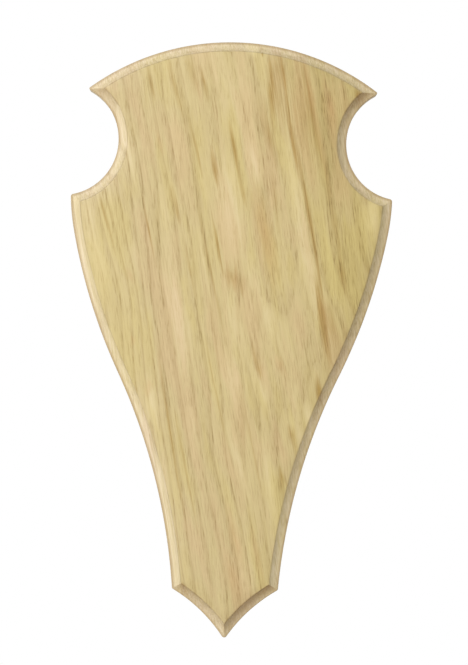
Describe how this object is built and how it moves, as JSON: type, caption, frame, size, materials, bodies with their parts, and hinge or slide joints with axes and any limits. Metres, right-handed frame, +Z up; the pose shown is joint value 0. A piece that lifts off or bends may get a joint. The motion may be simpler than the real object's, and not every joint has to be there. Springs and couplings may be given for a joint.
{
  "type": "wooden trophy shield",
  "caption": "Carved-outline oak shield with a cove-moulded front edge, hung on a wall by a swinging ring and backed by rubber bumpers.",
  "frame": {"origin": "where the plaque hangs: in the plane of the wall, on the centre line, at the top of the nail that carries the ring", "axes": "+X to the right as seen from the front, +Y out of the back into the wall, +Z up; the moulded front faces -Y"},
  "size_m": [0.1188, 0.019, 0.2201],
  "materials": {
    "oak": "solid oak, sanded, clear satin finish",
    "hanger_plate": "brass-plated steel, bright",
    "screw_plate": "yellow zinc-plated steel",
    "bumper_rubber": "matt dark brown rubber"
  },
  "bodies": {
    "board": {"oak_board": "oak", "hanger_strap": "hanger_plate", "hanger_screw_upper": "screw_plate", "hanger_screw_lower": "screw_plate", "wall_bumper_left": "bumper_rubber", "wall_bumper_right": "bumper_rubber"},
    "ring": {"hanger_ring": "hanger_plate"}
  },
  "joints": [
    {"name": "ring_swing", "type": "hinge", "parent": "board", "child": "ring", "pos_m": [0, -0.00208, -0.0093], "axis": [-1, 0, 0], "range_deg": [0, 180]}
  ]
}
